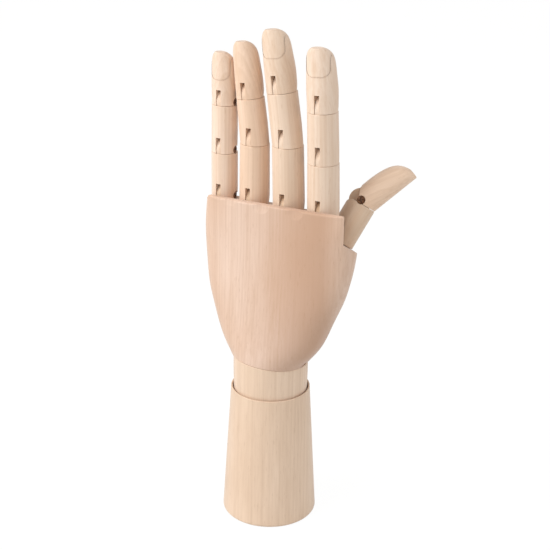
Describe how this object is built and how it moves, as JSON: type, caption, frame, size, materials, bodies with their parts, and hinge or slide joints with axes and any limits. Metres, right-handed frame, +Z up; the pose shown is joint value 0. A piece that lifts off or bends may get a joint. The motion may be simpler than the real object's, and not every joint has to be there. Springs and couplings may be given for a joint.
{
  "type": "wooden hand mannequin",
  "caption": "Jointed wooden hand on a turned forearm base, with hinged fingers, a swivelling thumb, a bending palm and a turning wrist, for posing, display and drawing practice.",
  "frame": {"origin": "centre of the flat underside of the forearm base", "axes": "+Z up along the forearm, -Y out of the back of the hand, +Y out of the palm side, +X to the thumb side"},
  "size_m": [0.1142, 0.0717, 0.3013],
  "materials": {
    "palm_wood": "fine-sanded, unvarnished",
    "finger_wood": "fine-sanded, unvarnished",
    "thumb_wood": "fine-sanded, unvarnished",
    "forearm_wood": "turned and fine-sanded, unvarnished",
    "dowel_wood": "plain sawn and turned",
    "dark_screw": "bronzed, satin",
    "zinc_steel": "zinc plated"
  },
  "bodies": {
    "forearm": {"forearm_base": "forearm_wood", "wrist_spring": "zinc_steel"},
    "wrist": {"wrist_barrel": "forearm_wood", "wrist_stud": "zinc_steel", "spring_washer": "zinc_steel", "stud_nut": "zinc_steel"},
    "palm": {"palm": "palm_wood", "wrist_screw": "dark_screw", "index_knuckle_peg": "dowel_wood", "middle_knuckle_peg": "dowel_wood", "ring_knuckle_peg": "dowel_wood", "little_knuckle_peg": "dowel_wood"},
    "index_lower": {"index_lower_piece": "finger_wood", "index_knuckle_screw": "dark_screw"},
    "index_mid": {"index_middle_piece": "finger_wood", "index_middle_screw": "dark_screw"},
    "index_end": {"index_tip": "finger_wood", "index_end_screw": "dark_screw"},
    "middle_lower": {"middle_lower_piece": "finger_wood", "middle_knuckle_screw": "dark_screw"},
    "middle_mid": {"middle_middle_piece": "finger_wood", "middle_middle_screw": "dark_screw"},
    "middle_end": {"middle_tip": "finger_wood", "middle_end_screw": "dark_screw"},
    "ring_lower": {"ring_lower_piece": "finger_wood", "ring_knuckle_screw": "dark_screw"},
    "ring_mid": {"ring_middle_piece": "finger_wood", "ring_middle_screw": "dark_screw"},
    "ring_end": {"ring_tip": "finger_wood", "ring_end_screw": "dark_screw"},
    "little_lower": {"little_lower_piece": "finger_wood", "little_knuckle_screw": "dark_screw"},
    "little_mid": {"little_middle_piece": "finger_wood", "little_middle_screw": "dark_screw"},
    "little_end": {"little_tip": "finger_wood", "little_end_screw": "dark_screw"},
    "thumb_lower": {"thumb_lower_piece": "thumb_wood", "thumb_root_peg": "dowel_wood"},
    "thumb_end": {"thumb_tip": "thumb_wood", "thumb_end_screw": "dark_screw"}
  },
  "joints": [
    {"name": "wrist_turn", "type": "hinge", "parent": "forearm", "child": "wrist", "pos_m": [0, 0, 0.08], "axis": [0, 0, 1], "continuous": true},
    {"name": "palm_bend", "type": "hinge", "parent": "wrist", "child": "palm", "pos_m": [0.00015, -0.00279, 0.10457], "axis": [-0.9981, 0, 0.061], "range_deg": [0, 35]},
    {"name": "index_knuckle", "type": "hinge", "parent": "palm", "child": "index_lower", "pos_m": [0.0325, 0, 0.1999], "axis": [-0.9976, -0.0698, 0], "range_deg": [0, 60]},
    {"name": "index_middle_joint", "type": "hinge", "parent": "index_lower", "child": "index_mid", "pos_m": [0.03175, -0.00005, 0.23079], "axis": [-0.9973, -0.0697, -0.0244], "range_deg": [0, 80]},
    {"name": "index_end_joint", "type": "hinge", "parent": "index_mid", "child": "index_end", "pos_m": [0.03058, -0.00014, 0.26002], "axis": [-0.9968, -0.0697, -0.0401], "range_deg": [0, 50]},
    {"name": "middle_knuckle", "type": "hinge", "parent": "palm", "child": "middle_lower", "pos_m": [0.0106, 0, 0.1999], "axis": [-1, -0.0087, 0], "range_deg": [0, 60]},
    {"name": "middle_middle_joint", "type": "hinge", "parent": "middle_lower", "child": "middle_mid", "pos_m": [0.00929, -0.00001, 0.23738], "axis": [-0.9994, -0.0087, -0.0349], "range_deg": [0, 80]},
    {"name": "middle_end_joint", "type": "hinge", "parent": "middle_mid", "child": "middle_end", "pos_m": [0.00506, -0.00005, 0.26748], "axis": [-0.9902, -0.0086, -0.1392], "range_deg": [0, 50]},
    {"name": "ring_knuckle", "type": "hinge", "parent": "palm", "child": "ring_lower", "pos_m": [-0.0118, 0, 0.1999], "axis": [-0.9998, -0.0175, 0], "range_deg": [0, 60]},
    {"name": "ring_middle_joint", "type": "hinge", "parent": "ring_lower", "child": "ring_mid", "pos_m": [-0.0118, 0, 0.2354], "axis": [-0.9998, -0.0175, 0], "range_deg": [0, 80]},
    {"name": "ring_end_joint", "type": "hinge", "parent": "ring_mid", "child": "ring_end", "pos_m": [-0.015, -0.00006, 0.2615], "axis": [-0.9924, -0.0173, -0.1219], "range_deg": [0, 50]},
    {"name": "little_knuckle", "type": "hinge", "parent": "palm", "child": "little_lower", "pos_m": [-0.0317, 0, 0.1999], "axis": [-1, 0, 0], "range_deg": [0, 60]},
    {"name": "little_middle_joint", "type": "hinge", "parent": "little_lower", "child": "little_mid", "pos_m": [-0.0317, 0, 0.2274], "axis": [-1, 0, 0], "range_deg": [0, 80]},
    {"name": "little_end_joint", "type": "hinge", "parent": "little_mid", "child": "little_end", "pos_m": [-0.0315, 0, 0.2555], "axis": [-1, 0, 0.007], "range_deg": [0, 50]},
    {"name": "thumb_turn", "type": "hinge", "parent": "palm", "child": "thumb_lower", "pos_m": [0.03815, 0.00983, 0.17952], "axis": [0.3154, 0.4697, 0.8246], "range_deg": [-90, 90]},
    {"name": "thumb_end_joint", "type": "hinge", "parent": "thumb_lower", "child": "thumb_end", "pos_m": [0.04517, 0.02209, 0.20259], "axis": [0.4145, -0.8498, 0.3256], "range_deg": [0, 70]}
  ]
}
